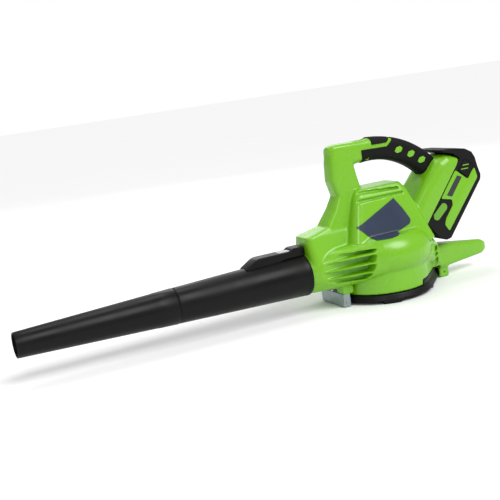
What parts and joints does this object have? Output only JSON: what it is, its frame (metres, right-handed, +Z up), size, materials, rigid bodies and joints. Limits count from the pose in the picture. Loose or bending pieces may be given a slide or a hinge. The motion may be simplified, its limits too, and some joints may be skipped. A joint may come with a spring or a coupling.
{
  "type": "leaf blower",
  "caption": "Battery leaf blower with a tapered tube, a D handle, a slanted battery pack behind and a hinged intake guard underneath.",
  "frame": {"origin": "on the ground plane, on the fan's vertical axis", "axes": "-X out of the tube's nozzle, +Z up along the fan shaft, -Y the operator's left"},
  "size_m": [0.96, 0.206, 0.3005],
  "materials": {
    "green_shell": "moulded, semi-gloss",
    "black_shell": "moulded, satin",
    "tube_black": "blow-moulded, satin",
    "grip_rubber": "fine texture",
    "badge": "smooth printed plate",
    "battery_green": "moulded, semi-gloss",
    "pad_green": "stippled",
    "grey_plastic": "moulded",
    "impeller_nylon": "glass-filled",
    "zinc_steel": "zinc plated",
    "bright_steel": "ground",
    "copper": "enamelled wire",
    "heat_sink_alu": "extruded",
    "wire_cover": "flexible",
    "cell_wrap": "shrink wrap",
    "frame_plastic": "moulded",
    "board_green": "solder mask"
  },
  "bodies": {
    "housing": {"housing_left": "green_shell", "housing_right": "green_shell", "housing_screws": "zinc_steel", "grip_left": "grip_rubber", "grip_right": "grip_rubber", "grip_inlay": "grip_rubber", "badge_left": "badge", "badge_right": "badge", "motor_plate": "black_shell", "motor_can": "bright_steel", "motor_stator": "bright_steel", "motor_windings": "copper", "lower_bearing": "bright_steel", "upper_bearing": "bright_steel", "inlet_ring": "black_shell", "hinge_bracket": "zinc_steel", "hinge_pin": "zinc_steel", "bracket_screws": "zinc_steel", "guard_lock_screw": "zinc_steel", "interlock_switch": "black_shell", "speed_control": "black_shell", "battery_shoe": "black_shell", "terminal_block": "black_shell", "terminal_blades": "copper", "controller": "black_shell", "heat_sink": "heat_sink_alu", "motor_leads": "wire_cover", "dial_lead": "wire_cover"},
    "fan_rotor": {"motor_shaft": "bright_steel", "rotor_core": "bright_steel", "impeller": "impeller_nylon", "impeller_nut": "zinc_steel"},
    "guard": {"intake_guard": "black_shell"},
    "interlock": {"interlock_plunger": "black_shell"},
    "blower_tube": {"upper_tube": "tube_black", "button_spring": "bright_steel"},
    "nozzle": {"nozzle_tube": "tube_black"},
    "tube_lock": {"tube_button": "grey_plastic"},
    "dial": {"speed_dial": "grey_plastic"},
    "battery": {"battery_cover": "black_shell", "battery_tray": "black_shell", "battery_plate_left": "battery_green", "battery_plate_right": "battery_green", "battery_pad_left": "pad_green", "battery_pad_right": "pad_green", "latch_spring_left": "bright_steel", "latch_spring_right": "bright_steel", "battery_cells": "cell_wrap", "cell_frame": "frame_plastic", "battery_board": "board_green"},
    "latch_left": {"latch_button_left": "black_shell"},
    "latch_right": {"latch_button_right": "black_shell"}
  },
  "joints": [
    {"name": "fan_spin", "type": "hinge", "parent": "housing", "child": "fan_rotor", "pos_m": [0, 0, 0.12], "axis": [0, 0, 1], "continuous": true},
    {"name": "guard_hinge", "type": "hinge", "parent": "housing", "child": "guard", "pos_m": [-0.104, 0, 0.009], "axis": [0, 1, 0], "range_deg": [0, 95]},
    {"name": "interlock_press", "type": "slide", "parent": "housing", "child": "interlock", "axis": [0, 0, 1], "range_m": [0, 0.0015], "stiffness_N_per_m": 200, "springref_m": -0.0005},
    {"name": "tube_slide", "type": "slide", "parent": "housing", "child": "blower_tube", "axis": [-1, 0, 0], "range_m": [0, 0.06]},
    {"name": "nozzle_slide", "type": "slide", "parent": "blower_tube", "child": "nozzle", "axis": [-1, 0, 0], "range_m": [0, 0.05]},
    {"name": "tube_lock_press", "type": "slide", "parent": "blower_tube", "child": "tube_lock", "axis": [0, 0, -1], "range_m": [0, 0.0025], "stiffness_N_per_m": 600, "springref_m": -0.001, "deforming": ["button_spring"]},
    {"name": "dial_turn", "type": "hinge", "parent": "housing", "child": "dial", "pos_m": [-0.018, 0, 0.2845], "axis": [0, 1, 0], "range_deg": [0, 150]},
    {"name": "battery_slide", "type": "slide", "parent": "housing", "child": "battery", "axis": [0.6225, 0, 0.7826], "range_m": [0, 0.19]},
    {"name": "latch_left_press", "type": "slide", "parent": "battery", "child": "latch_left", "axis": [0, 1, 0], "range_m": [0, 0.003], "stiffness_N_per_m": 800, "springref_m": -0.001, "deforming": ["latch_spring_left"]},
    {"name": "latch_right_press", "type": "slide", "parent": "battery", "child": "latch_right", "axis": [0, -1, 0], "range_m": [0, 0.003], "stiffness_N_per_m": 800, "springref_m": -0.001, "deforming": ["latch_spring_right"]}
  ]
}
